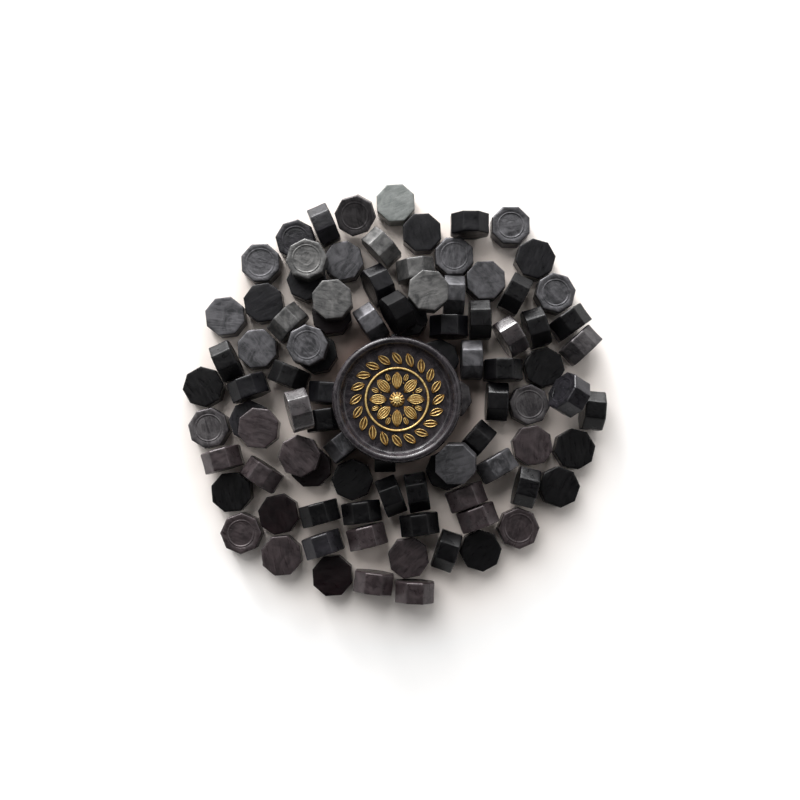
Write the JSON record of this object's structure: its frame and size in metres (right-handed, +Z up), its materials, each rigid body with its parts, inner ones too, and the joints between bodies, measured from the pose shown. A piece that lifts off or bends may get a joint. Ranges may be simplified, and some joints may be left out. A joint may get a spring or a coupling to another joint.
{
  "type": "heap of sealing wax beads with a stamped wax seal",
  "caption": "Heap of black octagonal sealing wax beads with a round stamped wax seal lying on top; the seal and the loose beads lift off.",
  "frame": {"origin": "on the table, under the middle of the heap's bounding box", "axes": "+Z up from the table, +Y away from the viewer (towards the top of the picture), +X to the viewer's right"},
  "size_m": [0.1014, 0.101, 0.0184],
  "materials": {
    "bead_wax": "cast sealing wax, satin, faint pearl, scuffed edges",
    "seal_wax": "stamped sealing wax, smooth with a soft pearl gloss",
    "gilt_paint": "hand-laid gold paint on the raised design of the seal, looks only"
  },
  "bodies": {
    "heap": {"bead_01_with_04": "bead_wax", "bead_02_with_09": "bead_wax", "bead_06_with_20": "bead_wax", "bead_07_with_08": "bead_wax", "bead_10_with_11": "bead_wax", "bead_14_with_13": "bead_wax", "bead_16_with_97": "bead_wax", "bead_18_with_88": "bead_wax", "bead_27_with_22": "bead_wax", "bead_24_with_23": "bead_wax", "bead_26_with_31": "bead_wax", "bead_33_with_90": "bead_wax", "bead_34_with_35": "bead_wax", "bead_38_with_40": "bead_wax", "bead_41_with_42": "bead_wax", "bead_43_with_46": "bead_wax", "bead_44_with_45": "bead_wax", "bead_47_with_49": "bead_wax", "bead_48_with_57": "bead_wax", "bead_50_with_65": "bead_wax", "bead_51_with_58": "bead_wax", "bead_53_with_68": "bead_wax", "bead_55_with_54": "bead_wax", "bead_59_with_61": "bead_wax", "bead_62_with_95": "bead_wax", "bead_64_with_63": "bead_wax", "bead_66_with_67": "bead_wax", "bead_87_with_69": "bead_wax", "bead_70_with_72": "bead_wax", "bead_71_with_75": "bead_wax", "bead_73_with_74": "bead_wax", "bead_80_with_79": "bead_wax", "bead_81_with_84": "bead_wax", "bead_86_with_82": "bead_wax", "bead_85_with_89": "bead_wax", "bead_91_with_92": "bead_wax"},
    "bead_03": {"bead_03": "bead_wax"},
    "bead_05": {"bead_05": "bead_wax"},
    "bead_12": {"bead_12": "bead_wax"},
    "bead_15": {"bead_15": "bead_wax"},
    "bead_17": {"bead_17": "bead_wax"},
    "bead_19": {"bead_19": "bead_wax"},
    "bead_21": {"bead_21": "bead_wax"},
    "bead_25": {"bead_25": "bead_wax"},
    "bead_28": {"bead_28": "bead_wax"},
    "bead_29": {"bead_29": "bead_wax"},
    "bead_30": {"bead_30": "bead_wax"},
    "bead_32": {"bead_32": "bead_wax"},
    "bead_36": {"bead_36": "bead_wax"},
    "bead_37": {"bead_37": "bead_wax"},
    "bead_39": {"bead_39": "bead_wax"},
    "bead_52": {"bead_52": "bead_wax"},
    "bead_56": {"bead_56": "bead_wax"},
    "bead_60": {"bead_60": "bead_wax"},
    "bead_76": {"bead_76": "bead_wax"},
    "bead_77": {"bead_77": "bead_wax"},
    "bead_78": {"bead_78": "bead_wax"},
    "bead_83": {"bead_83": "bead_wax"},
    "bead_94": {"bead_94": "bead_wax"},
    "wax_seal": {"wax_seal": "seal_wax"}
  },
  "joints": [
    {"name": "bead_03_lift", "type": "slide", "parent": "heap", "child": "bead_03", "axis": [0, 0, 1], "range_m": [0, 0.025]},
    {"name": "bead_05_lift", "type": "slide", "parent": "heap", "child": "bead_05", "axis": [0, 0, 1], "range_m": [0, 0.025]},
    {"name": "bead_12_lift", "type": "slide", "parent": "heap", "child": "bead_12", "axis": [0, 0, 1], "range_m": [0, 0.025]},
    {"name": "bead_15_lift", "type": "slide", "parent": "heap", "child": "bead_15", "axis": [0, 0, 1], "range_m": [0, 0.025]},
    {"name": "bead_17_lift", "type": "slide", "parent": "heap", "child": "bead_17", "axis": [0, 0, 1], "range_m": [0, 0.025]},
    {"name": "bead_19_lift", "type": "slide", "parent": "heap", "child": "bead_19", "axis": [0, 0, 1], "range_m": [0, 0.025]},
    {"name": "bead_21_lift", "type": "slide", "parent": "heap", "child": "bead_21", "axis": [0, 0, 1], "range_m": [0, 0.025]},
    {"name": "bead_25_lift", "type": "slide", "parent": "heap", "child": "bead_25", "axis": [0, 0, 1], "range_m": [0, 0.025]},
    {"name": "bead_28_lift", "type": "slide", "parent": "heap", "child": "bead_28", "axis": [0, 0, 1], "range_m": [0, 0.025]},
    {"name": "bead_29_lift", "type": "slide", "parent": "heap", "child": "bead_29", "axis": [0, 0, 1], "range_m": [0, 0.025]},
    {"name": "bead_30_lift", "type": "slide", "parent": "heap", "child": "bead_30", "axis": [0, 0, 1], "range_m": [0, 0.025]},
    {"name": "bead_32_lift", "type": "slide", "parent": "heap", "child": "bead_32", "axis": [0, 0, 1], "range_m": [0, 0.025]},
    {"name": "bead_36_lift", "type": "slide", "parent": "heap", "child": "bead_36", "axis": [0, 0, 1], "range_m": [0, 0.025]},
    {"name": "bead_37_lift", "type": "slide", "parent": "heap", "child": "bead_37", "axis": [0, 0, 1], "range_m": [0, 0.025]},
    {"name": "bead_39_lift", "type": "slide", "parent": "heap", "child": "bead_39", "axis": [0, 0, 1], "range_m": [0, 0.025]},
    {"name": "bead_52_lift", "type": "slide", "parent": "heap", "child": "bead_52", "axis": [0, 0, 1], "range_m": [0, 0.025]},
    {"name": "bead_56_lift", "type": "slide", "parent": "heap", "child": "bead_56", "axis": [0, 0, 1], "range_m": [0, 0.025]},
    {"name": "bead_60_lift", "type": "slide", "parent": "heap", "child": "bead_60", "axis": [0, 0, 1], "range_m": [0, 0.025]},
    {"name": "bead_76_lift", "type": "slide", "parent": "heap", "child": "bead_76", "axis": [0, 0, 1], "range_m": [0, 0.025]},
    {"name": "bead_77_lift", "type": "slide", "parent": "heap", "child": "bead_77", "axis": [0, 0, 1], "range_m": [0, 0.025]},
    {"name": "bead_78_lift", "type": "slide", "parent": "heap", "child": "bead_78", "axis": [0, 0, 1], "range_m": [0, 0.025]},
    {"name": "bead_83_lift", "type": "slide", "parent": "heap", "child": "bead_83", "axis": [0, 0, 1], "range_m": [0, 0.025]},
    {"name": "bead_94_lift", "type": "slide", "parent": "heap", "child": "bead_94", "axis": [0, 0, 1], "range_m": [0, 0.025]},
    {"name": "wax_seal_lift", "type": "slide", "parent": "heap", "child": "wax_seal", "axis": [0, 0, 1], "range_m": [0, 0.03]}
  ]
}
